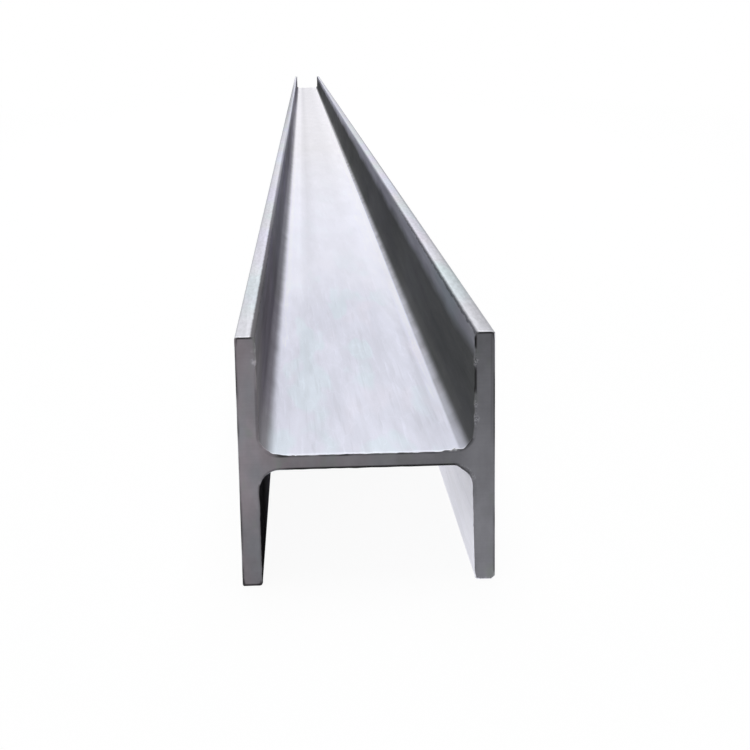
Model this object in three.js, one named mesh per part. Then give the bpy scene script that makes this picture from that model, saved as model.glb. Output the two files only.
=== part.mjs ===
// Hot-rolled steel H-section with wide parallel flanges, sawn square to a stock length.
//
// The beam lies as it is laid down on a level floor: web level, flanges upright, resting on
// the tips of the lower flange halves. X runs across the web from flange to flange, Y along
// the beam and Z up. The origin is on the floor, midway along the beam and midway between
// the flanges. All sizes are in millimetres.

import * as THREE from 'three';

// Length that the stock is sold in.
const BEAM_LENGTH = 6000;

// The section, with the sizes that a mill drawing gives.
const SECTION_DEPTH = 100;
const FLANGE_WIDTH = 100;
const WEB_THICKNESS = 6;
const FLANGE_THICKNESS = 8;

// Fillet where the web runs into each flange.
const ROOT_RADIUS = 8;
const ROOT_FACETS = 10;

// The rolls leave the tips of the flanges a little rounder inside than outside.
const TIP_INNER_RADIUS = 1.2;
const TIP_OUTER_RADIUS = 0.8;
const TIP_FACETS = 3;

// Mill finish: a thin grey scale that still shines faintly like metal.
const MILL_GREY = 0x9fa2a7;
const MILL_ROUGHNESS = 0.5;
const MILL_METALNESS = 0.7;

// Sharp corners of the section, counter-clockwise from the upper tip of the right flange,
// each with the radius that rounds it.
function sectionCorners() {
  const outerFace = SECTION_DEPTH / 2;
  const innerFace = outerFace - FLANGE_THICKNESS;
  const tip = FLANGE_WIDTH / 2;
  const webFace = WEB_THICKNESS / 2;
  const quarter = [
    { x: outerFace, z: tip, radius: TIP_OUTER_RADIUS, facets: TIP_FACETS },
    { x: innerFace, z: tip, radius: TIP_INNER_RADIUS, facets: TIP_FACETS },
    { x: innerFace, z: webFace, radius: ROOT_RADIUS, facets: ROOT_FACETS },
  ];
  const mirrored = (signX, signZ) => quarter.map((corner) => ({
    ...corner,
    x: corner.x * signX,
    z: corner.z * signZ,
  }));
  return [
    ...quarter,
    ...mirrored(-1, 1).reverse(),
    ...mirrored(-1, -1),
    ...mirrored(1, -1).reverse(),
  ];
}

// The arc that rounds one right-angled corner, tangent to the two faces that meet there.
function roundedCorner(before, corner, after) {
  const point = new THREE.Vector2(corner.x, corner.z);
  const back = new THREE.Vector2(before.x, before.z).sub(point).normalize();
  const ahead = new THREE.Vector2(after.x, after.z).sub(point).normalize();
  const centre = back.clone().add(ahead).multiplyScalar(corner.radius).add(point);
  const startAngle = Math.atan2(-ahead.y, -ahead.x);
  const endAngle = Math.atan2(-back.y, -back.x);
  const isHollow = back.cross(ahead) > 0;
  const arc = new THREE.EllipseCurve(
    centre.x, centre.y, corner.radius, corner.radius, startAngle, endAngle, isHollow,
  );
  return arc.getPoints(corner.facets);
}

function sectionShape() {
  const corners = sectionCorners();
  const outline = corners.flatMap((corner, index) => {
    const before = corners.at(index - 1);
    const after = corners[(index + 1) % corners.length];
    return roundedCorner(before, corner, after);
  });
  return new THREE.Shape(outline);
}

// The whole beam is one rolled piece. The section is drawn upright and drawn out along Y.
function hBeam() {
  const geometry = new THREE.ExtrudeGeometry(sectionShape(), {
    depth: BEAM_LENGTH,
    steps: 1,
    bevelEnabled: false,
  });
  const material = new THREE.MeshStandardMaterial({
    color: MILL_GREY,
    roughness: MILL_ROUGHNESS,
    metalness: MILL_METALNESS,
  });
  const beam = new THREE.Mesh(geometry, material);
  beam.name = 'h_beam';
  beam.rotation.x = Math.PI / 2;
  beam.position.set(0, BEAM_LENGTH / 2, FLANGE_WIDTH / 2);
  return beam;
}

const part = new THREE.Group();
part.add(hBeam());

export default part;
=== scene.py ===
"""Steel H-beam with its mill finish, in the plain studio that it is shown in.

The beam lies on its flange tips: X across the web, Y along the beam, Z up, in metres.
"""

import math
from functools import partial

import bmesh
import bpy
from bpy.props import FloatProperty, FloatVectorProperty, IntProperty, PointerProperty
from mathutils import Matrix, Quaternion, Vector, kdtree, noise


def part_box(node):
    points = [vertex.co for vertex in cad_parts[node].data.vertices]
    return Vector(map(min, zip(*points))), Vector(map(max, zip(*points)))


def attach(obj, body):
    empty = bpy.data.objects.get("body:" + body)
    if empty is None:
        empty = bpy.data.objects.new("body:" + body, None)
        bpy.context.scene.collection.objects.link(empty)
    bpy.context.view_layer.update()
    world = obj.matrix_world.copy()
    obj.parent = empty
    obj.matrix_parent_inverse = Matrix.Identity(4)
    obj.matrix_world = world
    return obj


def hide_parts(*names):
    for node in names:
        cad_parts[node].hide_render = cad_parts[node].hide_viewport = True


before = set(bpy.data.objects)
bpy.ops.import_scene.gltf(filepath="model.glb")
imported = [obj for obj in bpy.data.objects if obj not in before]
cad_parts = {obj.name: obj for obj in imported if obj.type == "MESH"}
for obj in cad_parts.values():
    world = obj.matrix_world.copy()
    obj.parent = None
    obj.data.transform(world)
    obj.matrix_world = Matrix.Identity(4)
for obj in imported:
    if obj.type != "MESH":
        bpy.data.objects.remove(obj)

bl_info = {
    "name": "Steel H-beam",
    "version": (1, 0, 0),
    "blender": (4, 5, 0),
    "location": "3D View > Sidebar > H-beam",
    "description": "A rolled steel H-section with sawn ends, and a studio to show it in",
    "category": "Add Mesh",
}

LengthProperty = partial(FloatProperty, unit="LENGTH")
AngleProperty = partial(FloatProperty, subtype="ANGLE")
ColourProperty = partial(FloatVectorProperty, size=3, subtype="COLOR")

CAD_NODE = "h_beam"
BEAM_LOW, BEAM_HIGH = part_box(CAD_NODE)
BEAM_LENGTH = BEAM_HIGH[1] - BEAM_LOW[1]
HALF_LENGTH = BEAM_LENGTH / 2
MIDDLE_HEIGHT = (BEAM_LOW[2] + BEAM_HIGH[2]) / 2
SAME_PLACE = 1e-6

# Longest straight stretch between two points of the outline. The upper channel and the tips
# are finer, because the saw leaves its burr there and the finish changes there.
FINE_STEP = 0.0012
FLAT_STEP = 0.003

# How many of the shallow waves that the rolls leave go to a metre.
WAVES_ACROSS = 14
WAVES_ALONG = 2.2

SHARP_ANGLE = math.radians(35)

# How far into each root its painted highlight line lies.
ROOT_HIGHLIGHT_PLACE = 0.0008

# Which way a sawn edge looks, by the upward share of its outward direction, and from what
# sideways share on it counts as part of a wall.
LOOKS_UP = 0.6
LIES_LEVEL = 0.95
LOOKS_DOWN = -0.25
LOOKS_SIDEWAYS = 0.7

# Where the saw left burr, and where painted shadow darkens gaps on the channel's upper edges:
# the side of the beam, the height above the floor, the reach above and below it, and the
# strength.
BURR_SPOTS = (
    (1, 0.0885, 0.002, 0.8),
    (1, 0.0715, 0.0014, 0.7),
    (1, 0.0655, 0.0024, 0.8),
    (-1, 0.0945, 0.0013, 0.6),
    (-1, 0.0903, 0.0017, 1.0),
)
SHADOW_GAPS = ((1, 0.0962, 0.0026, 1.0), (1, 0.081, 0.0052, 0.9), (-1, 0.07, 0.011, 0.4))
STANDING_BURR = ((1, 0.0715, 0.008, 0.2), (-1, 0.07, 0.01, 0.35))
# How far from the beam's middle plane the spots' burr shows on the sawn face.
LEFT_BURR_EDGE = -0.0431
RIGHT_BURR_EDGE = 0.0424


class BeamSection(bpy.types.PropertyGroup):
    """Sizes of the rolled section and of what rolling and sawing leave on it."""

    web_thickness: LengthProperty(
        name="Web thickness",
        description="Thickness of the level web",
        default=0.006,
    )
    flange_thickness: LengthProperty(
        name="Flange thickness",
        description="Thickness of each upright flange",
        default=0.008,
    )
    root_radius: LengthProperty(
        name="Root radius",
        description="Fillet where the web runs into a flange",
        default=0.008,
    )
    root_segments: IntProperty(
        name="Root segments",
        description="Faces round each root fillet",
        default=14,
    )
    tip_inner_radius: LengthProperty(
        name="Inner tip radius",
        description="Rounding of the flange tips towards the channel",
        default=0.0012,
    )
    tip_outer_radius: LengthProperty(
        name="Outer tip radius",
        description="Rounding of the flange tips towards the outside",
        default=0.0008,
    )
    tip_segments: IntProperty(
        name="Tip segments",
        description="Faces round each rounded tip edge",
        default=4,
    )
    rings: IntProperty(
        name="Rings",
        description="Cuts along the beam, closest together at its ends",
        default=140,
    )
    ring_crowding: FloatProperty(
        name="Ring crowding",
        description="How much closer the rings stand at the ends than halfway; below 1",
        default=0.985,
    )
    mill_wave: LengthProperty(
        name="Mill wave",
        description="Depth of the long shallow waves that the rolls leave",
        default=0.0001,
    )
    arris: LengthProperty(
        name="Sawn arris",
        description="Width of the broken edge round each sawn end",
        default=0.0002,
    )
    ragged: LengthProperty(
        name="Ragged edge",
        description="How far the sawn edges stray from a clean outline",
        default=0.00018,
    )
    lip: LengthProperty(
        name="Burr lip",
        description="Height of the burr that the saw leaves on the web beside the right root",
        default=0.0011,
    )
    knock: FloatVectorProperty(
        name="Knocked corner",
        description="Size of the chip off one foot at the near end: across, along and up",
        default=(0.0015, 0.008, 0.0013),
        size=3,
        unit="LENGTH",
    )


class MillFinish(bpy.types.PropertyGroup):
    """Colours of the mill finish and of the sawn ends, with the painted shade and painted
    light among them.
    """

    skin_colour: ColourProperty(
        name="Skin",
        description="Pale grey of the rolled skin on web and tips",
        default=(0.747, 0.757, 0.853),
    )
    cool_colour: ColourProperty(
        name="Cool patches",
        description="Faint blue-green patches of the skin",
        default=(0.724, 0.79, 0.86),
    )
    warm_colour: ColourProperty(
        name="Warm patches",
        description="Faint lilac patches of the skin",
        default=(0.785, 0.762, 0.848),
    )
    outside_colour: ColourProperty(
        name="Outer faces",
        description="Grey of the flanges' outer faces",
        default=(0.47, 0.48, 0.505),
    )
    # The three scale colours are partly the dark mill scale and partly painted shade of the
    # channels' walls and the tips' inner rounding.
    scale_and_shade_colour: ColourProperty(
        name="Scale",
        description="Dark scale on the inner face of the right flange",
        default=(0.112, 0.1148, 0.1135),
    )
    left_scale_and_shade_colour: ColourProperty(
        name="Scale, left",
        description="Dark scale on the inner face of the left flange",
        default=(0.225, 0.221, 0.246),
    )
    near_scale_and_shade_colour: ColourProperty(
        name="Scale, left, near the ends",
        description="Warmer scale on the left flange's last stretch before the sawn ends",
        default=(0.24, 0.225, 0.231),
    )
    # Painted light: the walls' scale made lighter towards the flange tips, where more light
    # falls.
    lit_band_colour: ColourProperty(
        name="Rubbed scale",
        description="Scale worn lighter near the flange tips",
        default=(0.28, 0.283, 0.315),
    )
    # Partly painted light: brightens the skin beyond the near end; also the pale lower right
    # wall.
    clear_colour: ColourProperty(
        name="Clear skin",
        description="Brighter skin beyond the handled end",
        default=(0.85, 0.852, 0.932),
    )
    far_colour: ColourProperty(
        name="Middle of the beam",
        description="Less blue skin, far from the handled end",
        default=(0.79, 0.777, 0.803),
    )
    tip_tint: ColourProperty(
        name="Tip tint",
        description="What the flange tips keep of the skin's colour",
        default=(0.945, 0.928, 0.88),
    )
    stain_dye: FloatVectorProperty(
        name="Stain",
        description="What a faint blue-green stain near the ends does to a colour",
        default=(0.945, 1.022, 1.005),
    )
    lilac_dye: FloatVectorProperty(
        name="Lilac bloom",
        description="What the faint lilac bloom on tips and walls does to a colour",
        default=(1.0, 0.978, 1.065),
    )
    streak_lean: AngleProperty(
        name="Streak lean",
        description="Angle between the streaks and the beam's own line",
        default=math.radians(-1.0),
    )
    # Painted highlight: bright cut metal on the sawn edges that look up, and on the burr's
    # flakes.
    cut_highlight_colour: ColourProperty(
        name="Cut edge",
        description="Bright metal along the sawn edges",
        default=(0.85, 0.86, 0.88),
    )
    sawn_colour: ColourProperty(
        name="Sawn steel",
        description="Bare grey of the sawn ends",
        default=(0.162, 0.162, 0.177),
    )
    sawn_cool_colour: ColourProperty(
        name="Sawn steel, cool",
        description="Faint green clouds on the sawn ends",
        default=(0.156, 0.165, 0.162),
    )
    sawn_warm_colour: ColourProperty(
        name="Sawn steel, warm",
        description="Faint purple clouds on the sawn ends",
        default=(0.178, 0.16, 0.175),
    )


class StudioSettings(bpy.types.PropertyGroup):
    """Camera and lamps."""

    eye: FloatVectorProperty(
        name="Eye",
        description="Where the camera stands, measured from the foot of the near end",
        default=(-0.02167, -0.57038, 0.20619),
        subtype="TRANSLATION",
    )
    turn: AngleProperty(
        name="Turn",
        description="Camera heading, to the right of the beam's own line",
        default=math.radians(2.5315),
    )
    tilt: AngleProperty(
        name="Tilt",
        description="Camera tilt below the horizon",
        default=math.radians(12.088),
    )
    roll: AngleProperty(
        name="Roll",
        description="Camera roll about its own line of sight",
        default=math.radians(-0.8956),
    )
    focal_length: FloatProperty(
        name="Focal length",
        description="Lens, on a 36 mm wide frame",
        default=72.9,
        subtype="DISTANCE_CAMERA",
    )
    overhead_power: FloatProperty(
        name="Overhead power",
        description="Power of the long softbox over the beam, in watts",
        default=124.0,
    )
    front_power: FloatProperty(
        name="Front power",
        description="Power of the softbox behind the camera, in watts",
        default=28.0,
    )


# ---------------------------------------------------------------- the beam's mesh


def section_corners(section):
    """Sharp corners of one quarter, from the outer tip to the root, with their rounding."""
    outer = BEAM_HIGH[0]
    inner = outer - section.flange_thickness
    tip = (BEAM_HIGH[2] - BEAM_LOW[2]) / 2
    web = section.web_thickness / 2
    return [
        (outer, tip, section.tip_outer_radius, section.tip_segments),
        (inner, tip, section.tip_inner_radius, section.tip_segments),
        (inner, web, section.root_radius, section.root_segments),
    ]


def draw_section(mesh, section):
    """The section as one face at the near end, with every corner rounded."""
    quarter = section_corners(section)
    walk = (
        [(x, z, *rounding) for x, z, *rounding in quarter]
        + [(-x, z, *rounding) for x, z, *rounding in reversed(quarter)]
        + [(-x, -z, *rounding) for x, z, *rounding in quarter]
        + [(x, -z, *rounding) for x, z, *rounding in reversed(quarter)]
    )
    corners = []
    for x, z, radius, segments in walk:
        corner = mesh.verts.new((x, BEAM_LOW[1], MIDDLE_HEIGHT + z))
        corners.append((corner, radius, segments))
    face = mesh.faces.new([corner for corner, _, _ in corners])
    face.normal_update()
    roundings = sorted({(radius, segments) for _, radius, segments in corners})
    for rounding in roundings:
        bmesh.ops.bevel(
            mesh,
            geom=[corner for corner, *own in corners if tuple(own) == rounding],
            affect="VERTICES",
            offset=rounding[0],
            segments=rounding[1],
            profile=0.5,
            material=-1,
        )


def divide_flats(mesh, section):
    """Adds points along the straight stretches of the outline."""
    channel_wall = BEAM_HIGH[0] - section.flange_thickness
    web_top = MIDDLE_HEIGHT + section.web_thickness / 2
    for edge in list(mesh.edges):
        a, b = (corner.co for corner in edge.verts)
        length = (a - b).length
        upright = abs(a.x - b.x) < SAME_PLACE
        level = abs(a.z - b.z) < SAME_PLACE
        on_wall = upright and abs(abs(a.x) - channel_wall) < SAME_PLACE
        on_tip = level and length < section.flange_thickness
        on_web = level and abs(a.z - web_top) < SAME_PLACE
        step = FINE_STEP if on_wall or on_tip or on_web else FLAT_STEP
        cuts = math.ceil(length / step) - 1
        if cuts > 0:
            bmesh.ops.subdivide_edges(mesh, edges=[edge], cuts=cuts)


def draw_out(mesh, section):
    """Draws the section out to the beam's length, with rings that crowd at the ends."""
    grown = bmesh.ops.extrude_face_region(mesh, geom=list(mesh.faces))["geom"]
    far_points = [item for item in grown if isinstance(item, bmesh.types.BMVert)]
    bmesh.ops.translate(mesh, verts=far_points, vec=(0, BEAM_LENGTH, 0))
    long_edges = [
        edge
        for edge in mesh.edges
        if abs(edge.verts[0].co.y - edge.verts[1].co.y) > HALF_LENGTH
    ]
    bmesh.ops.subdivide_edges(mesh, edges=long_edges, cuts=section.rings)
    for point in mesh.verts:
        along = (point.co.y - BEAM_LOW[1]) / BEAM_LENGTH
        turn = 2 * math.pi * along
        eased = along - section.ring_crowding * math.sin(turn) / (2 * math.pi)
        point.co.y = BEAM_LOW[1] + eased * BEAM_LENGTH


def knock_corner(mesh, size):
    """Chips the outer corner off the right foot at the near end."""
    corner = Vector((BEAM_HIGH[0], BEAM_LOW[1], BEAM_LOW[2]))
    outwards = Vector((1 / size[0], -1 / size[1], -1 / size[2])).normalized()
    everything = mesh.verts[:] + mesh.edges[:] + mesh.faces[:]
    cut = bmesh.ops.bisect_plane(
        mesh,
        geom=everything,
        plane_co=corner - Vector((size[0], 0, 0)),
        plane_no=outwards,
        clear_outer=True,
    )["geom_cut"]
    around = [item for item in cut if isinstance(item, bmesh.types.BMEdge)]
    bmesh.ops.contextual_create(mesh, geom=around)


def roll_waves(mesh, section):
    """Long shallow waves, always inwards, so the beam keeps its outer size."""
    bmesh.ops.recalc_face_normals(mesh, faces=mesh.faces)
    for point in mesh.verts:
        x, y, z = point.co
        swing = noise.noise(Vector((x * WAVES_ACROSS, y * WAVES_ALONG, z * WAVES_ACROSS)))
        depth = section.mill_wave * (0.5 + 0.5 * swing)
        sideways = Vector((point.normal.x, 0, point.normal.z))
        point.co -= sideways * depth


def scale_and_shade_share(across, up, on_left, from_end, section):
    """How much of the channel's dark scale and painted shade covers a point of the outline,
    from 0 to 1.

    In a root it thickens with the turn round the fillet, in degrees, from the web at 0 to
    the wall at 90, and starts a little earlier away from the sawn ends.
    """
    wall = BEAM_HIGH[0] - section.flange_thickness
    root_top = section.web_thickness / 2 + section.root_radius
    tip = (BEAM_HIGH[2] - BEAM_LOW[2]) / 2
    # The inner half of each tip carries the painted shade of its inner rounding.
    if up > tip - section.tip_inner_radius / 2:
        return 1.0 if across < BEAM_HIGH[0] - section.flange_thickness / 2 else 0.0
    if across > wall + section.tip_inner_radius:
        return 0.0
    if up > root_top:
        return 1.0
    from_root = across - (wall - section.root_radius)
    turn = math.degrees(math.atan2(from_root, max(root_top - up, 1e-9)))
    inland = smooth_rise(from_end, 0.15, 0.6)
    if on_left:
        inner = smooth_rise(turn, 13 - 6 * inland, 47)
        return 0.88 * inner + 0.12 * smooth_rise(turn, 50, 85)
    beyond_cut = smooth_rise(from_end, 0.03, 0.12)
    start = 26 - 2.5 * beyond_cut - 4.5 * inland
    inner = smooth_rise(turn, start, 54 - 3 * beyond_cut - inland)
    return 0.4 * smooth_rise(turn, 12.5, 19) + 0.6 * inner


def mark_finish(mesh, section):
    """Marks the dark scale and painted shade of the channels, the outer faces and the painted
    highlight lines beside the roots.
    """
    scale_and_shade = mesh.verts.layers.float.new("scale_and_shade")
    outside = mesh.verts.layers.float.new("outside")
    root_highlight_line = mesh.verts.layers.float.new("root_highlight_line")
    root_start = BEAM_HIGH[0] - section.flange_thickness - section.root_radius
    root_top = section.web_thickness / 2 + section.root_radius
    for point in mesh.verts:
        across = abs(point.co.x)
        up = abs(point.co.z - MIDDLE_HEIGHT)
        from_end = min(point.co.y - BEAM_LOW[1], BEAM_HIGH[1] - point.co.y)
        point[scale_and_shade] = scale_and_shade_share(across, up, point.co.x < 0, from_end, section)
        point[outside] = smooth_rise(across, BEAM_HIGH[0] - 0.001, BEAM_HIGH[0])
        if up < root_top:
            from_line = abs(across - root_start - ROOT_HIGHLIGHT_PLACE)
            point[root_highlight_line] = 1 - smooth_rise(from_line, 0.0006, 0.004)


def smooth_rise(value, start, end):
    """0 before start, 1 after end and a soft ramp between them."""
    share = min(max((value - start) / (end - start), 0.0), 1.0)
    return share * share * (3 - 2 * share)


def outline_directions(rim, inside):
    """A tree that finds the outline's points, and the outward direction at each of them."""
    rim_tree = kdtree.KDTree(len(rim))
    outward = []
    for index, point in enumerate(rim):
        partners = (edge.other_vert(point) for edge in point.link_edges)
        inner = next(partner for partner in partners if partner in inside)
        outward.append((point.co - inner.co).normalized())
        rim_tree.insert(point.co, index)
    rim_tree.balance()
    return rim_tree, outward


def break_sawn_edges(mesh, section):
    """Breaks the arris of both sawn ends, leaves it ragged and marks its lines of painted
    highlight and painted shade, and its burr.
    """
    line = mesh.verts.layers.float.new("line")
    burr = mesh.verts.layers.float.new("burr")
    # Edges shorter than this are the tips' arcs, which the wider insets would fold.
    tip_arc = section.tip_inner_radius * 0.4
    for side in (-1, 1):
        end = sawn_face(mesh, side)
        rim = inset(mesh, end, section.arris)
        rim_tree, outward = outline_directions(rim, set(end.verts))
        tip_arcs = [edge for edge in end.edges if edge.calc_length() < tip_arc]
        bmesh.ops.collapse(mesh, edges=tip_arcs)
        end = sawn_face(mesh, side)
        rings = [rim]
        for share in (2, 2.5):
            rings.append(inset(mesh, end, section.arris * share))
        rings.append(list(end.verts))
        for depth, ring in enumerate(rings):
            for point in ring:
                place, index, _ = rim_tree.find(point.co)
                tones, ragged = edge_marks(place, outward[index], section)
                point[line] = tones[depth]
                point[burr] = ragged if depth < 3 else 0.0
                if depth < 2:
                    point.co += outward[index] * edge_wear(place, section)
        for point in rim:
            worn = 0.75 + 0.5 * noise.noise(point.co * 260)
            point.co.y -= side * section.arris * worn


def edge_wear(place, section):
    """How far the sawn edge stands out of its clean outline at a place."""
    worn = noise.noise(place * 420) + 0.6 * noise.noise(place * 1300)
    return worn * section.ragged * (1 - near_box(place)) + burr_lip(place, section)


def burr_lip(place, section):
    """How far the saw's burr stands into the channels at a place on the outline.

    It lies on the web beside the right root, in both upper roots, in flakes and ridges up
    the walls, and down the right leg's inner edge.
    """
    x, height = place.x, place.z
    above_web = height - MIDDLE_HEIGHT - section.web_thickness / 2
    if abs(x) > BEAM_HIGH[0] - section.flange_thickness / 2:
        return 0.0
    if above_web < -1e-4:
        down_leg = min(0.18 + 21.4 * height, 0.95) * smooth_rise(height, 0.0015, 0.005)
        return down_leg * smooth_rise(x, 0.0335, 0.039) * section.lip
    on_web = 0.57 * smooth_rise(x, 0.0275, 0.032) + 0.27 * smooth_rise(x, 0.0328, 0.0338)
    on_web *= 1 - smooth_rise(x, 0.0345, 0.0385)
    right_root = smooth_rise(x, 0.0372, 0.0396) * (1 - smooth_rise(height, 0.06, 0.066))
    left_root = smooth_rise(-x, 0.0305, 0.0345) * (1 - smooth_rise(height, 0.0555, 0.06))
    ridges = marked(place, STANDING_BURR) * smooth_rise(height, 0.056, 0.062)
    jagged = 1 + 0.6 * noise.noise(place * 620)
    flakes = (0.6 if x > 0 else 0.25) * marked(place, BURR_SPOTS) * jagged
    roots = 0.5 * max(right_root, left_root * jagged)
    uneven = 1 + 0.5 * noise.noise(place * 900)
    return max(on_web * uneven, roots, ridges, flakes) * section.lip


def near_box(place):
    """1 where the outline lies on the beam's own box, which nothing may leave."""
    gap = min(BEAM_HIGH[0] - abs(place.x), place.z - BEAM_LOW[2], BEAM_HIGH[2] - place.z)
    return 1 - smooth_rise(gap, 0.0004, 0.002)


def marked(place, marks):
    """How much one of the marks on the channel's edges covers a place, from 0 to 1."""
    cover = 0.0
    for side, height, reach, strength in marks:
        if place.x * side > 0:
            away = abs(place.z - height)
            share = 1 - smooth_rise(away, reach * 0.7, reach * 1.3)
            cover = max(cover, share * strength)
    return cover


def upper_edge_tones(place, outward, section):
    """Tones of the four rings where a sawn edge looks up: a painted highlight, and painted
    shade under that.
    """
    wall = BEAM_HIGH[0] - section.flange_thickness
    bright = smooth_rise(outward.z, LOOKS_UP, LIES_LEVEL)
    under = bright
    if place.x < 0:
        bright *= smooth_rise(outward.z, 0.75, 0.99)
    if place.z > BEAM_HIGH[2] - 0.003:
        bright *= smooth_rise(abs(place.x), wall + 0.0013, wall + 0.0022)
        return bright, -0.9 * under, -0.9 * under, 0.0
    if place.x > 0 and outward.z < LIES_LEVEL:
        return bright, -0.85, -0.35, 0.0
    under *= min(max(0.6 + 1.2 * noise.noise(place * 170), 0.3), 1.0)
    on_lip = smooth_rise(place.x, 0.0265, 0.03) * (1 - near_box(place))
    under *= 1 - 0.7 * on_lip
    flake = 0.6 * on_lip * smooth_rise(noise.noise(place * 800), 0.0, 0.2)
    return bright, flake - 0.9 * under * (1 - flake), -0.9 * under, 0.0


def lower_edge_tones(place, outward):
    """Tones of the four rings where a sawn edge looks down: painted shade, and thin on the
    burr.
    """
    dark = smooth_rise(-outward.z, -LOOKS_DOWN, 0.7)
    if place.z < BEAM_LOW[2] + 0.003:
        dark *= 0.0 if place.x > 0 else 0.9
    else:
        dark *= 1 - 0.55 * smooth_rise(-place.x, 0.0285, 0.036)
    on_burr = smooth_rise(place.x, 0.0335, 0.037)
    tones = [-dark * (1 - fade * on_burr) for fade in (0.0, 0.2, 1.0)]
    return (*tones, 0.0)


def edge_marks(place, outward, section):
    """Tones of the four rings round a sawn end at one point, and how rough it is there.

    A tone of 1 is a painted highlight of bright cut metal, -1 painted shade, nearly black, and
    0 plain.
    """
    wall = BEAM_HIGH[0] - section.flange_thickness
    on_right = place.x > 0
    above = place.z > MIDDLE_HEIGHT
    in_root = on_right and above and 0.4 < outward.z < LIES_LEVEL
    if outward.z > LOOKS_UP or in_root:
        return upper_edge_tones(place, outward, section), 0.1
    if outward.z < LOOKS_DOWN:
        return lower_edge_tones(place, outward), 0.3
    if abs(outward.x) > LOOKS_SIDEWAYS:
        if above and abs(place.x) < wall + 0.001:
            # Painted shadow in the gaps beside the burr, and a little painted shade elsewhere
            # on the walls' edges.
            dark = max(marked(place, SHADOW_GAPS), 0.15)
            return (-dark, -dark, -dark, 0.0), max(marked(place, BURR_SPOTS), 0.1)
        dark = min(max(0.5 + 1.1 * noise.noise(place * 130), 0.15), 0.9)
        if on_right and outward.x < 0:
            dark *= 0.3
        return (-dark, -dark, -0.4 * dark, 0.0), 0.05
    return (0.0, -0.1, 0.0, 0.0), 0.05


def sawn_face(mesh, side):
    """The face with the most corners at the near end (side -1) or the far end (side 1)."""
    at_end = [face for face in mesh.faces if face.verts[0].co.y * side > 0]
    return max(at_end, key=lambda face: len(face.verts))


def inset(mesh, face, width):
    """Insets one face and gives the points that stay where its outline was."""
    made = bmesh.ops.inset_region(mesh, faces=[face], thickness=width, use_even_offset=True)
    around = {point for ring_face in made["faces"] for point in ring_face.verts}
    return list(around - set(face.verts))


def finished_object(mesh, name, materials):
    """A mesh object at the origin, its faces smooth apart from its sharp edges."""
    bmesh.ops.recalc_face_normals(mesh, faces=mesh.faces)
    for face in mesh.faces:
        face.smooth = True
    for edge in mesh.edges:
        if edge.calc_face_angle(0) > SHARP_ANGLE:
            edge.smooth = False
    data = bpy.data.meshes.new(name)
    mesh.to_mesh(data)
    mesh.free()
    for material in materials:
        data.materials.append(material)
    piece = bpy.data.objects.new(name, data)
    bpy.context.scene.collection.objects.link(piece)
    return piece


# ---------------------------------------------------------------- materials


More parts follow.
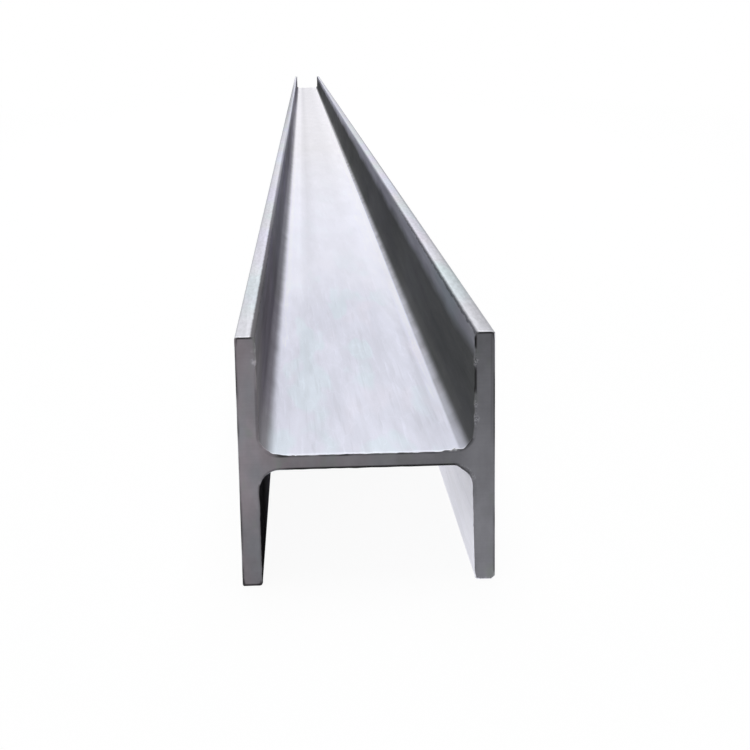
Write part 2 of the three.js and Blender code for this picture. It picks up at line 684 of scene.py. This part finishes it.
class Nodes:
    """Short words for building one material's node tree."""

    def __init__(self, tree):
        tree.nodes.clear()
        self.tree = tree

    def feed(self, socket, value):
        """Wires a value into a socket, or sets it there when it is a fixed one."""
        if isinstance(value, bpy.types.NodeSocket):
            self.tree.links.new(value, socket)
        elif socket.type == "RGBA":
            socket.default_value = (*value, 1)
        else:
            socket.default_value = value

    def add(self, kind, inputs=(), **settings):
        """Adds a node, sets it up and feeds its sockets, each by its name or number."""
        node = self.tree.nodes.new(kind)
        for name, value in settings.items():
            setattr(node, name, value)
        for socket, value in dict(inputs).items():
            self.feed(node.inputs[socket], value)
        return node

    def attribute(self, name):
        """One of the marks that the mesh carries on its points."""
        return self.add("ShaderNodeAttribute", attribute_name=name).outputs["Fac"]

    def turned(self, vector, angle):
        """A vector turned about the upright axis."""
        node = self.add("ShaderNodeMapping", {"Vector": vector, "Rotation": (0, 0, angle)})
        return node.outputs["Vector"]

    def noise(self, vector, stretch, detail=3, roughness=0.5):
        """Noise on a vector, with a number of repeats per metre along each axis."""
        mapping = self.add("ShaderNodeMapping", {"Vector": vector, "Scale": stretch})
        vector = mapping.outputs["Vector"]
        inputs = {"Vector": vector, "Scale": 1, "Detail": detail, "Roughness": roughness}
        return self.add("ShaderNodeTexNoise", inputs).outputs["Fac"]

    def spread(self, value, low, high, to_low, to_high):
        """Maps low..high onto to_low..to_high, and holds it there outside them."""
        names = ("Value", "From Min", "From Max", "To Min", "To Max")
        inputs = zip(names, (value, low, high, to_low, to_high))
        return self.add("ShaderNodeMapRange", inputs).outputs["Result"]

    def math(self, operation, *values):
        node = self.add("ShaderNodeMath", enumerate(values), operation=operation)
        return node.outputs["Value"]

    def times(self, value, *factors):
        for factor in factors:
            value = self.math("MULTIPLY", value, factor)
        return value

    def plus(self, value, *terms):
        for term in terms:
            value = self.math("ADD", value, term)
        return value

    def less(self, value, amount):
        return self.math("SUBTRACT", value, amount)

    def lowest(self, a, b):
        return self.math("MINIMUM", a, b)

    def highest(self, a, b):
        return self.math("MAXIMUM", a, b)

    def distance(self, value, middle):
        """How far a value is from a middle one, on either side."""
        return self.math("ABSOLUTE", self.less(value, middle))

    def blend(self, share, a, b):
        """Blends value a into value b."""
        inputs = {0: share, 2: a, 3: b}
        return self.add("ShaderNodeMix", inputs, data_type="FLOAT").outputs[0]

    def colour_mix(self, share, a, b):
        """Blends colour a into colour b."""
        inputs = {0: share, 6: a, 7: b}
        return self.add("ShaderNodeMix", inputs, data_type="RGBA").outputs[2]

    def tinted(self, colour, *factors):
        """A colour multiplied by one grey factor after another."""
        for factor in factors:
            inputs = {0: colour, "Scale": factor}
            node = self.add("ShaderNodeVectorMath", inputs, operation="SCALE")
            colour = node.outputs["Vector"]
        return colour

    def dyed(self, share, colour, dye):
        """A colour multiplied by a fixed dye, as far as the share says."""
        inputs = {0: colour, 1: dye}
        node = self.add("ShaderNodeVectorMath", inputs, operation="MULTIPLY")
        return self.colour_mix(share, colour, node.outputs["Vector"])

    def shader(self, kind, colour, **values):
        """A shader node of one colour."""
        return self.add(kind, {"Color": colour, **values}).outputs[0]

    def shader_mix(self, share, a, b):
        """Blends shader a into shader b."""
        return self.add("ShaderNodeMixShader", {0: share, 1: a, 2: b}).outputs["Shader"]

    def surface(self, values, relief, strength, depth):
        """The material's one shader, with a fine relief that bumps it."""
        inputs = {"Strength": strength, "Distance": depth, "Height": relief}
        bump = self.add("ShaderNodeBump", inputs)
        values = {**values, "Normal": bump.outputs["Normal"]}
        shader = self.add("ShaderNodeBsdfPrincipled", values)
        self.add("ShaderNodeOutputMaterial", {"Surface": shader.outputs["BSDF"]})


def new_material(name):
    material = bpy.data.materials.new(name)
    material.use_nodes = True
    return material, Nodes(material.node_tree)


class Spot:
    """Wires that say where on the beam a point of the finish lies, in metres.

    side is X, from the left flange to the right, and across the same without its sign.
    lengthwise is Y and level Z, the height over the floor.
    """

    def __init__(self, nodes):
        self.nodes = nodes
        self.place = nodes.add("ShaderNodeTexCoord").outputs["Object"]
        split = nodes.add("ShaderNodeSeparateXYZ", {"Vector": self.place})
        self.side, self.lengthwise, self.level = (split.outputs[axis] for axis in "XYZ")
        self.across = nodes.math("ABSOLUTE", self.side)


class SkinSpot(Spot):
    """The same for the rolled skin, with what several of its parts read.

    along is the distance from the beam's middle, and height the one from the web's middle,
    so the sawn ends lie at 3 and the tips at 0.05.
    """

    def __init__(self, nodes, finish):
        super().__init__(nodes)
        self.along = nodes.math("ABSOLUTE", self.lengthwise)
        self.height = nodes.distance(self.level, MIDDLE_HEIGHT)
        self.on_tip = nodes.spread(self.height, 0.0485, 0.0493, 0, 1)
        self.off_tip = nodes.spread(self.on_tip, 0, 1, 1, 0)
        self.on_right = nodes.spread(self.side, -0.01, 0.01, 0, 1)
        self.below_web = nodes.spread(self.level, 0.0465, 0.0475, 1, 0)

        # Streaks lean a little off the beam's own line, and clouds a little more.
        self.lean = nodes.turned(self.place, finish.streak_lean)
        self.drift = nodes.turned(self.place, finish.streak_lean * 1.2)
        self.strokes = nodes.noise(self.lean, (150, 11, 150), detail=4, roughness=0.55)
        self.hairs = nodes.noise(self.lean, (460, 30, 460), detail=2)
        self.chips = nodes.noise(self.place, (300, 110, 300), detail=2)

        # The skin is dimmer at the near end, up to a frayed front, and brighter beyond it,
        # partly as painted light.
        fray = nodes.spread(nodes.noise(self.place, (60, 5, 60)), 0.3, 0.7, 0.07, -0.07)
        self.frayed = nodes.plus(self.lengthwise, fray)
        lead = nodes.spread(self.across, 0.021, 0.029, 0, 0.1)
        clear = self.from_near_end(0.33, 0.56, 0, 1, nodes.plus(self.frayed, lead))
        self.clear = nodes.times(clear, self.off_tip)
        self.dimmer = nodes.spread(self.clear, 0, 1, 1, 0)

        # A faint stain crosses the beam near both ends, and a lilac bloom lies all along it.
        stain_edge = nodes.plus(self.along, nodes.times(fray, 0.4))
        self.stain = nodes.times(
            self.from_end(0.15, 0.21, 1, 0, stain_edge),
            self.from_end(0.06, 0.1, 0, 1, stain_edge),
        )
        bloom = nodes.noise(self.place, (12, 5, 14), detail=1)
        self.lilac = nodes.spread(bloom, 0.46, 0.6, 0, 1)

    def from_end(self, start, stop, at_start, at_stop, along=None):
        """Maps the distance to the nearer sawn end, from start to stop."""
        low, high = HALF_LENGTH - stop, HALF_LENGTH - start
        return self.nodes.spread(along or self.along, low, high, at_stop, at_start)

    def from_near_end(self, start, stop, at_start, at_stop, lengthwise=None):
        """Maps the distance to the near sawn end, from start to stop."""
        low, high = BEAM_LOW[1] + start, BEAM_LOW[1] + stop
        return self.nodes.spread(lengthwise or self.lengthwise, low, high, at_start, at_stop)

    def rough(self, wire, reach):
        """A place or distance that chips push to and fro, by up to reach either way."""
        return self.nodes.plus(wire, self.nodes.spread(self.chips, 0.3, 0.7, -reach, reach))


def rolled_tone(nodes, spot):
    """Clouds, streaks, hairlines, drag marks, nicks and grain of the skin, as one factor."""
    clouds = nodes.noise(spot.drift, (90, 10, 90), detail=4, roughness=0.6)
    blotches = nodes.noise(spot.drift, (42, 5, 42), detail=2)
    drags = nodes.noise(spot.lean, (66, 9, 66), detail=3, roughness=0.6)
    nicks = nodes.noise(spot.lean, (520, 15, 520), detail=1)
    grain = nodes.noise(spot.place, (1700, 700, 1700), detail=1)
    tone = nodes.times(
        nodes.spread(clouds, 0.43, 0.57, 0.972, 1.028),
        nodes.spread(blotches, 0.4, 0.6, 0.985, 1.015),
        nodes.spread(spot.strokes, 0.4, 0.6, 0.974, 1.026),
        nodes.spread(spot.hairs, 0.35, 0.65, 0.989, 1.011),
        nodes.spread(nodes.distance(drags, 0.5), 0, 0.014, 1.035, 1),
        nodes.spread(nicks, 0.64, 0.7, 1, 1.05),
        nodes.spread(nicks, 0.3, 0.36, 0.95, 1),
    )
    calm = spot.from_end(0.22, 0.5, 1, 0.4)
    tone = nodes.plus(nodes.times(nodes.less(tone, 1), calm), 1)
    return nodes.times(tone, nodes.spread(grain, 0.3, 0.7, 0.985, 1.015))


def skin_colours(nodes, spot, finish):
    """The pale skin with its cool and lilac patches, and the stain on the tips."""
    patches = nodes.noise(spot.lean, (62, 10, 62), detail=2)
    cool = nodes.blend(
        spot.on_tip,
        nodes.times(
            nodes.spread(patches, 0.53, 0.6, 0, 0.8),
            nodes.spread(spot.side, 0.024, 0.031, 1, 0.2),
        ),
        nodes.times(
            nodes.spread(patches, 0.5, 0.6, 0, 0.8),
            spot.from_end(0.03, 0.07, 0.1, 1),
        ),
    )
    warm = nodes.noise(spot.lean, (48, 8, 80), detail=2)
    far = nodes.times(spot.from_near_end(0.8, 1.9, 0, 0.85), spot.off_tip)
    coats = (
        (cool, finish.cool_colour),
        (nodes.spread(warm, 0.57, 0.68, 0, 0.5), finish.warm_colour),
        (nodes.spread(spot.clear, 0, 1, 0, 0.8), finish.clear_colour),
        (far, finish.far_colour),
    )
    skin = finish.skin_colour
    for share, colour in coats:
        skin = nodes.colour_mix(share, skin, colour)
    skin = nodes.dyed(spot.on_tip, skin, finish.tip_tint)
    skin = nodes.dyed(nodes.times(spot.stain, spot.on_tip), skin, finish.stain_dye)
    return nodes.dyed(nodes.times(spot.lilac, spot.on_tip), skin, finish.lilac_dye)


def web_bands(nodes, spot):
    """Lengthwise bands of the web, as one factor.

    It is bright beside the roots, with a grey stripe on the left and a thin grey line beside
    the right root. Most of them start a little inland of the sawn ends.
    """
    side = spot.side
    from_stripe = nodes.plus(side, 0.0195)
    grey_stripe = nodes.highest(
        nodes.spread(from_stripe, -0.0055, 0, 0, -0.085),
        nodes.spread(from_stripe, 0, 0.009, -0.085, 0),
    )
    inland_bands = nodes.plus(
        nodes.spread(side, -0.0275, -0.0245, 0.1, 0),
        grey_stripe,
        nodes.spread(side, 0.01, 0.033, 0, 0.12),
    )
    inland = nodes.times(spot.from_near_end(0.25, 0.85, 0, 1, spot.frayed), spot.off_tip)
    near_strip = nodes.lowest(
        spot.from_end(0.35, 0.5, 1, 0),
        spot.from_end(0.05, 0.14, 0, 1),
    )
    left_strip = nodes.spread(side, -0.0285, -0.0225, 0.06, 0)
    grey_line = nodes.spread(nodes.distance(side, 0.0311), 0.0004, 0.0012, -0.03, 0)
    return nodes.plus(
        nodes.times(inland_bands, inland),
        nodes.spread(side, 0.014, 0.032, 1, 1.06),
        nodes.spread(side, -0.033, -0.014, 0.015, 0),
        nodes.times(left_strip, nodes.times(near_strip, spot.off_tip)),
        nodes.times(grey_line, spot.dimmer),
    )


def tip_tone(nodes, spot):
    """Tone of the flange tips, as a factor: each has its own fall across and along it."""
    across = spot.across
    right = nodes.plus(
        nodes.spread(across, 0.044, 0.0465, -0.02, -0.21),
        nodes.spread(across, 0.0465, 0.0492, 0, -0.13),
    )
    right = nodes.plus(
        nodes.times(right, spot.from_end(0.2, 0.7, 1, 0.3)),
        spot.from_end(0.15, 2, 0, -0.22),
    )
    left = nodes.plus(
        nodes.spread(nodes.distance(across, 0.0449), 0.0004, 0.0012, 0.08, 0),
        spot.from_end(1, 2.2, 0, -0.33),
        spot.from_end(0.08, 0.35, 0, -0.07),
        nodes.spread(across, 0.0455, 0.0485, 0, -0.05),
    )
    right_rim = nodes.lowest(
        spot.from_end(0.05, 0.7, 0.25, 1.6),
        spot.from_end(1.1, 1.8, 1.6, 0.9),
    )
    outer_rim = nodes.times(
        nodes.spread(across, 0.0481, 0.0491, 0, -0.25),
        nodes.blend(spot.on_right, spot.from_end(0.22, 0.6, 0, 0.64), right_rim),
    )
    grain = nodes.noise(spot.place, (700, 120, 700), detail=2)
    tone = nodes.plus(
        nodes.blend(spot.on_right, left, right),
        outer_rim,
        nodes.spread(grain, 0.35, 0.65, -0.06, 0.06),
    )
    return nodes.plus(nodes.times(spot.on_tip, tone), 1)


def root_highlight(nodes, spot):
    """A painted highlight line where the web runs into a root, as a factor."""
    near_highlight = nodes.times(spot.dimmer, spot.from_end(0.04, 0.12, 0, 0.09))
    highlight_gain = nodes.plus(nodes.times(near_highlight, spot.on_right), 0.08)
    return nodes.plus(nodes.times(nodes.attribute("root_highlight_line"), highlight_gain), 1)


def scale_and_shade_cover(nodes, spot):
    """How much dark scale and painted shade lie on the skin: wavering in the roots and ending
    across the tips.
    """
    cover = nodes.attribute("scale_and_shade")
    soft = nodes.times(nodes.spread(cover, 0, 0.4, 0, 1), nodes.spread(cover, 0.6, 1, 1, 0))
    waver = nodes.noise(spot.place, (0, 30, 0), detail=3)
    waver = nodes.times(soft, nodes.spread(waver, 0.3, 0.7, -0.13, 0.13))
    cover = nodes.plus(cover, waver)
    ragged = spot.rough(spot.across, 0.00013)
    inland = spot.from_end(0.28, 1.7, 0.1, 0.85)
    bare_left = nodes.blend(
        inland,
        nodes.spread(ragged, 0.0436, 0.0443, 0, 1),
        nodes.spread(ragged, 0.0425, 0.0457, 0.1, 1),
    )
    bare_right = nodes.spread(ragged, 0.0426, 0.0438, 0, 1)
    bare_right = nodes.lowest(nodes.plus(bare_right, nodes.times(inland, 0.08)), 1)
    bare = nodes.times(nodes.blend(spot.on_right, bare_left, bare_right), spot.on_tip)
    return nodes.times(cover, nodes.less(1, bare))


def left_wall_scale_and_shade(nodes, spot, finish):
    """Scale and painted shade of the left wall, warmer near the ends, with a slow change of
    tone along it.
    """
    near_end = spot.from_end(0.2, 0.5, 1, 0)
    scale_and_shade = nodes.colour_mix(near_end, finish.left_scale_and_shade_colour, finish.near_scale_and_shade_colour)
    dip = nodes.highest(
        spot.from_end(0.35, 0.55, 0.8, 1),
        spot.from_end(0.02, 0.12, 1.1, 0.8),
    )
    slope = nodes.lowest(
        spot.from_end(0.4, 0.7, 0.14, 0),
        spot.from_end(0.12, 0.22, -0.03, 0.14),
    )
    slope = nodes.times(slope, nodes.spread(spot.height, 0.018, 0.04, -1, 1))
    middle = spot.from_end(1.9, 2.7, 1, 1.3)
    return nodes.tinted(scale_and_shade, dip, nodes.plus(slope, 1), middle)


def lit_band_share(nodes, spot):
    """How far painted light lightens the walls' scale near the tips, and less so on the left
    wall.
    """
    waver = nodes.noise(spot.place, (0, 9, 60), detail=3)
    edge = nodes.plus(
        spot.height,
        nodes.spread(waver, 0, 1, -0.0045, 0.0045),
        spot.from_end(0.25, 0.6, 0, 0.0016),
    )
    side_share = nodes.highest(spot.on_right, spot.from_end(0.8, 1.6, 0.3, 1))
    return nodes.times(nodes.spread(edge, 0.0375, 0.0445, 0, 1), side_share)


def wall_scale_and_shade(nodes, spot, finish):
    """Dark scale and painted shade of the channels' walls, with painted light towards the
    tips, stains, and more painted shade.
    """
    scale_and_shade = left_wall_scale_and_shade(nodes, spot, finish)
    scale_and_shade = nodes.colour_mix(spot.on_right, scale_and_shade, finish.scale_and_shade_colour)
    scale_and_shade = nodes.tinted(scale_and_shade, spot.from_end(1.5, 2.7, 1, 1.2))
    # Painted light: a lighter band of the walls towards the tips, lighter still far from the
    # ends.
    lit_band_tone = nodes.plus(spot.from_end(0.2, 0.5, 0, 0.29), spot.from_end(1.15, 2, 1, 1.48))
    lit_band = lit_band_share(nodes, spot)
    scale_and_shade = nodes.colour_mix(lit_band, scale_and_shade, nodes.tinted(finish.lit_band_colour, lit_band_tone))
    smears = nodes.noise(spot.place, (0, 15, 170), detail=3)
    clouds = nodes.noise(spot.place, (9, 3.5, 30), detail=2)
    scale_and_shade = nodes.tinted(
        scale_and_shade,
        nodes.spread(smears, 0.3, 0.7, 0.95, 1.05),
        nodes.spread(clouds, 0.3, 0.7, 0.86, 1.14),
    )
    stain = nodes.times(spot.stain, lit_band, spot.on_right)
    scale_and_shade = nodes.dyed(stain, scale_and_shade, finish.stain_dye)
    lilac = nodes.times(spot.lilac, nodes.spread(spot.on_right, 0, 1, 1, 0.3))
    scale_and_shade = nodes.dyed(lilac, scale_and_shade, finish.lilac_dye)
    # Painted light: the walls' top rim turns to pale skin far from the ends.
    lit_rim = nodes.times(
        nodes.spread(spot.height, 0.044, 0.0487, 0, 0.9),
        spot.from_end(1.05, 2, 0, 1),
    )
    scale_and_shade = nodes.colour_mix(lit_rim, scale_and_shade, finish.skin_colour)
    # Painted shade on the tips' inner rounding, strongest near the ends.
    painted_tip_shade = nodes.times(
        nodes.spread(spot.rough(spot.height, 0.0004), 0.0488, 0.0494, 0, 1),
        spot.from_end(0.3, 0.7, 1, 0),
        nodes.spread(spot.on_right, 0, 1, 0.36, 0.6),
    )
    scale_and_shade = nodes.tinted(scale_and_shade, nodes.less(1, painted_tip_shade))
    bare_below = nodes.times(spot.below_web, spot.on_right)
    scale_and_shade = nodes.colour_mix(bare_below, scale_and_shade, finish.clear_colour)
    # Painted shade: the left wall under the web darkened by half, nearly black near the ends.
    painted_shade_below = nodes.times(
        spot.below_web,
        nodes.less(1, spot.on_right),
        spot.from_end(0.05, 0.14, 0.94, 0.5),
    )
    return nodes.tinted(scale_and_shade, nodes.less(1, painted_shade_below))


def edge_lines(nodes, colour, finish):
    """Draws the painted highlights and painted shade that the mesh carries as lines round its
    sawn ends.
    """
    line = nodes.attribute("line")
    bright = nodes.spread(line, 0, 1, 0, 0.85)
    colour = nodes.colour_mix(bright, colour, finish.cut_highlight_colour)
    return nodes.tinted(colour, nodes.spread(line, -1, 0, 0.04, 1))


def mill_skin(finish):
    """Rolled skin: pale grey on the web and tips, dark scale with painted shade on the
    channels' walls, and painted highlights and shade round the sawn ends.
    """
    material, nodes = new_material("mill_skin")
    spot = SkinSpot(nodes, finish)
    cover = scale_and_shade_cover(nodes, spot)
    cut_edge = spot.from_end(0.0016, 0.0028, 1.17, 1, spot.rough(spot.along, 0.0005))
    colour = nodes.tinted(
        skin_colours(nodes, spot, finish),
        web_bands(nodes, spot),
        tip_tone(nodes, spot),
        root_highlight(nodes, spot),
        cut_edge,
    )
    colour = nodes.colour_mix(nodes.attribute("outside"), colour, finish.outside_colour)
    colour = nodes.colour_mix(cover, colour, wall_scale_and_shade(nodes, spot, finish))
    colour = nodes.tinted(colour, rolled_tone(nodes, spot))
    bare_below = nodes.times(spot.below_web, spot.on_right, cover, 0.95)
    roughness = nodes.plus(
        nodes.spread(nodes.less(cover, bare_below), 0, 1, 0.42, 0.8),
        nodes.spread(spot.strokes, 0.35, 0.65, -0.04, 0.04),
    )
    values = {
        "Base Color": edge_lines(nodes, colour, finish),
        "Metallic": nodes.highest(nodes.spread(cover, 0, 0.5, 0.2, 0), bare_below),
        "Roughness": roughness,
        "Specular IOR Level": 0,
    }
    nodes.surface(values, relief=spot.hairs, strength=0.1, depth=0.0003)
    return material


def burr_specks(nodes, spot, to_right):
    """Light and dark specks where the saw left burr on the sawn end, as a factor."""
    burr = nodes.attribute("burr")
    for side, height, reach, strength in BURR_SPOTS:
        edge = RIGHT_BURR_EDGE if side > 0 else LEFT_BURR_EDGE
        inputs = {0: spot.place, 1: (edge, BEAM_LOW[1], height)}
        away = nodes.add("ShaderNodeVectorMath", inputs, operation="DISTANCE").outputs["Value"]
        near = nodes.spread(away, reach * 0.3, reach * 0.8, strength, 0)
        burr = nodes.highest(burr, near)
    fine = nodes.noise(spot.place, (1500, 1500, 1100), detail=1)
    coarse = nodes.noise(spot.place, (620, 620, 480), detail=1)
    specks = nodes.blend(
        to_right,
        nodes.spread(coarse, 0.35, 0.65, 1.15, 1.9),
        nodes.spread(fine, 0.4, 0.6, 0.75, 2.1),
    )
    return nodes.plus(nodes.times(nodes.less(specks, 1), burr), 1)


def sawn_steel(finish):
    """Sawn end: bare steel, faintly lined by the saw, with burr along its inner edges and
    painted shade and highlights round its rim.
    """
    material, nodes = new_material("sawn_steel")
    spot = Spot(nodes)
    kerf = nodes.noise(spot.place, (40, 40, 1300), detail=2)
    clouds = nodes.noise(spot.place, (90, 90, 60), detail=4, roughness=0.6)
    to_right = nodes.spread(spot.side, -0.03, 0.03, 0, 1)
    to_left = nodes.less(1, to_right)
    fall = nodes.spread(spot.level, 0, 0.1, 0.6, -0.3)
    swell = nodes.spread(nodes.distance(spot.level, 0.058), 0.02, 0.045, 0.22, 0)
    tone = nodes.times(
        nodes.spread(kerf, 0.3, 0.7, 0.975, 1.025),
        nodes.spread(clouds, 0.38, 0.62, 0.91, 1.09),
        nodes.spread(spot.across, 0.034, 0.043, 0.82, 1),
        nodes.spread(to_right, 0, 1, 1, 0.84),
        nodes.plus(nodes.times(fall, to_right), 1),
        nodes.plus(nodes.times(swell, to_left), 1),
    )
    purple = nodes.noise(spot.place, (75, 75, 40), detail=2)
    purple = nodes.times(nodes.spread(purple, 0.35, 0.55, 0, 1), to_left)
    green = nodes.noise(spot.place, (110, 110, 70), detail=2)
    green = nodes.spread(green, 0.55, 0.66, 0, 0.8)
    steel = nodes.colour_mix(purple, finish.sawn_colour, finish.sawn_warm_colour)
    steel = nodes.colour_mix(green, steel, finish.sawn_cool_colour)
    colour = edge_lines(nodes, nodes.tinted(steel, tone), finish)
    scratch = nodes.times(
        nodes.spread(nodes.distance(spot.side, 0.0486), 0.0001, 0.0005, -0.16, 0),
        nodes.spread(spot.level, 0.054, 0.06, 0, 1),
    )
    specks = burr_specks(nodes, spot, to_right)
    values = {
        "Base Color": nodes.tinted(colour, nodes.plus(scratch, 1), specks),
        "Metallic": 0.25,
        "Roughness": 0.55,
        "Specular IOR Level": 0.2,
    }
    nodes.surface(values, relief=kerf, strength=0.15, depth=0.0002)
    return material


class MESH_OT_roll_h_beam(bpy.types.Operator):
    """Models the beam in one piece: section, length, sawn ends and finish"""

    bl_idname = "mesh.roll_h_beam"
    bl_label = "Roll H-beam"

    def execute(self, context):
        section = context.scene.h_beam_section
        finish = context.scene.h_beam_finish
        mesh = bmesh.new()
        draw_section(mesh, section)
        divide_flats(mesh, section)
        draw_out(mesh, section)
        knock_corner(mesh, section.knock)
        mark_finish(mesh, section)
        roll_waves(mesh, section)
        break_sawn_edges(mesh, section)
        for face in mesh.faces:
            face.material_index = 1 if abs(face.normal.y) > 0.9 else 0
        beam = finished_object(mesh, "rolled_beam", [mill_skin(finish), sawn_steel(finish)])
        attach(beam, "root")
        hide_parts(CAD_NODE)
        return {"FINISHED"}


# ---------------------------------------------------------------- the studio

WHITE = (1, 1, 1)
FLOOR_RADIUS = 60
FLOOR_GAP = 0.0004
# How far the floor keeps a shadow, across the beam and along it.
SHADOW_REACH = (1.5, 4.5)


def ray_seen_by_eye(nodes):
    """1 for camera rays and for what shines or shows through, 0 for light on the object."""
    path = nodes.add("ShaderNodeLightPath").outputs
    shown = nodes.plus(
        path["Is Camera Ray"], path["Is Glossy Ray"], path["Is Transmission Ray"]
    )
    return nodes.lowest(shown, 1)


def light_world(scene):
    """White where it is seen, a weaker grey as light."""
    world = bpy.data.worlds.new("studio_air")
    world.use_nodes = True
    scene.world = world
    nodes = Nodes(world.node_tree)
    ambient = nodes.shader("ShaderNodeBackground", (0.97, 0.98, 1), Strength=0.35)
    seen = nodes.shader("ShaderNodeBackground", WHITE, Strength=1)
    air = nodes.shader_mix(ray_seen_by_eye(nodes), ambient, seen)
    nodes.add("ShaderNodeOutputWorld", {"Surface": air})


def pale_floor():
    """White far off, with a weak shadow near the beam, and a duller white as light."""
    material, nodes = new_material("pale_floor")
    white = nodes.shader("ShaderNodeEmission", WHITE)
    pale = nodes.shader("ShaderNodeBsdfDiffuse", WHITE)
    dull = nodes.shader("ShaderNodeBsdfDiffuse", (0.8, 0.8, 0.8))
    place = nodes.add("ShaderNodeTexCoord").outputs["Object"]
    shrink = (1 / SHADOW_REACH[0], 1 / SHADOW_REACH[1], 0)
    squeezed = nodes.add("ShaderNodeMapping", {"Vector": place, "Scale": shrink}).outputs[0]
    away = nodes.add("ShaderNodeVectorMath", {0: squeezed}, operation="LENGTH")
    shadow = nodes.spread(away.outputs["Value"], 0.3, 1, 0.12, 0)
    shown = nodes.shader_mix(shadow, white, pale)
    surface = nodes.shader_mix(ray_seen_by_eye(nodes), dull, shown)
    nodes.add("ShaderNodeOutputMaterial", {"Surface": surface})
    return material


def lay_floor(scene):
    """A wide round floor, a hair below the beam so that the two don't flicker."""
    mesh = bmesh.new()
    bmesh.ops.create_circle(mesh, cap_ends=True, segments=96, radius=FLOOR_RADIUS)
    bmesh.ops.translate(mesh, verts=mesh.verts, vec=(0, 0, -FLOOR_GAP))
    data = bpy.data.meshes.new("floor")
    mesh.to_mesh(data)
    mesh.free()
    data.materials.append(pale_floor())
    floor = bpy.data.objects.new("floor", data)
    scene.collection.objects.link(floor)


def hang_softbox(scene, name, place, aim, size, power):
    """A rectangular lamp at a place, pointing along aim: its size is width and length."""
    lamp = bpy.data.lights.new(name, "AREA")
    lamp.shape = "RECTANGLE"
    lamp.size, lamp.size_y = size
    lamp.energy = power
    holder = bpy.data.objects.new(name, lamp)
    holder.location = place
    holder.rotation_mode = "QUATERNION"
    holder.rotation_quaternion = Vector(aim).to_track_quat("-Z", "Y")
    holder.visible_glossy = False
    holder.visible_camera = False
    scene.collection.objects.link(holder)


def stand_camera(scene, studio):
    """The camera before the near end, looking along the beam and a little down."""
    camera = bpy.data.cameras.new("camera")
    camera.lens = studio.focal_length
    camera.sensor_width = 36
    camera.clip_start = 0.01
    camera.clip_end = 200
    holder = bpy.data.objects.new("camera", camera)
    holder.location = Vector((0, BEAM_LOW[1], BEAM_LOW[2])) + Vector(studio.eye)
    sight = Vector(
        (
            math.sin(studio.turn) * math.cos(studio.tilt),
            math.cos(studio.turn) * math.cos(studio.tilt),
            -math.sin(studio.tilt),
        )
    )
    holder.rotation_mode = "QUATERNION"
    level = sight.to_track_quat("-Z", "Y")
    holder.rotation_quaternion = level @ Quaternion((0, 0, 1), studio.roll)
    scene.collection.objects.link(holder)
    scene.camera = holder


class SCENE_OT_h_beam_studio(bpy.types.Operator):
    """Sets up the floor, the lamps and the camera"""

    bl_idname = "scene.h_beam_studio"
    bl_label = "Set up studio"

    def execute(self, context):
        scene = context.scene
        studio = scene.h_beam_studio
        scene.view_settings.view_transform = "Standard"
        light_world(scene)
        lay_floor(scene)
        hang_softbox(
            scene,
            "overhead",
            place=(0, 1.1, 2.5),
            aim=(0, 0, -1),
            size=(1.2, 10),
            power=studio.overhead_power,
        )
        hang_softbox(
            scene,
            "front",
            place=(-0.5, -5.5, 0.45),
            aim=(0.15, 1, -0.05),
            size=(1.5, 0.7),
            power=studio.front_power,
        )
        stand_camera(scene, studio)
        return {"FINISHED"}


class VIEW3D_PT_h_beam(bpy.types.Panel):
    """Sizes, colours and the steps that make the beam and its studio"""

    bl_label = "H-beam"
    bl_space_type = "VIEW_3D"
    bl_region_type = "UI"
    bl_category = "H-beam"

    def draw(self, context):
        scene = context.scene
        groups = (scene.h_beam_section, scene.h_beam_finish, scene.h_beam_studio)
        for group in groups:
            column = self.layout.column(align=True)
            for name in group.__annotations__:
                column.prop(group, name)
        self.layout.operator(MESH_OT_roll_h_beam.bl_idname)
        self.layout.operator(SCENE_OT_h_beam_studio.bl_idname)


CLASSES = (
    BeamSection,
    MillFinish,
    StudioSettings,
    MESH_OT_roll_h_beam,
    SCENE_OT_h_beam_studio,
    VIEW3D_PT_h_beam,
)


def register():
    for cls in CLASSES:
        bpy.utils.register_class(cls)
    bpy.types.Scene.h_beam_section = PointerProperty(type=BeamSection)
    bpy.types.Scene.h_beam_finish = PointerProperty(type=MillFinish)
    bpy.types.Scene.h_beam_studio = PointerProperty(type=StudioSettings)


def unregister():
    del bpy.types.Scene.h_beam_studio
    del bpy.types.Scene.h_beam_finish
    del bpy.types.Scene.h_beam_section
    for cls in reversed(CLASSES):
        bpy.utils.unregister_class(cls)


def main():
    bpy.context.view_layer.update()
    register()
    bpy.ops.mesh.roll_h_beam()
    bpy.ops.scene.h_beam_studio()


if __name__ == "__main__":
    main()
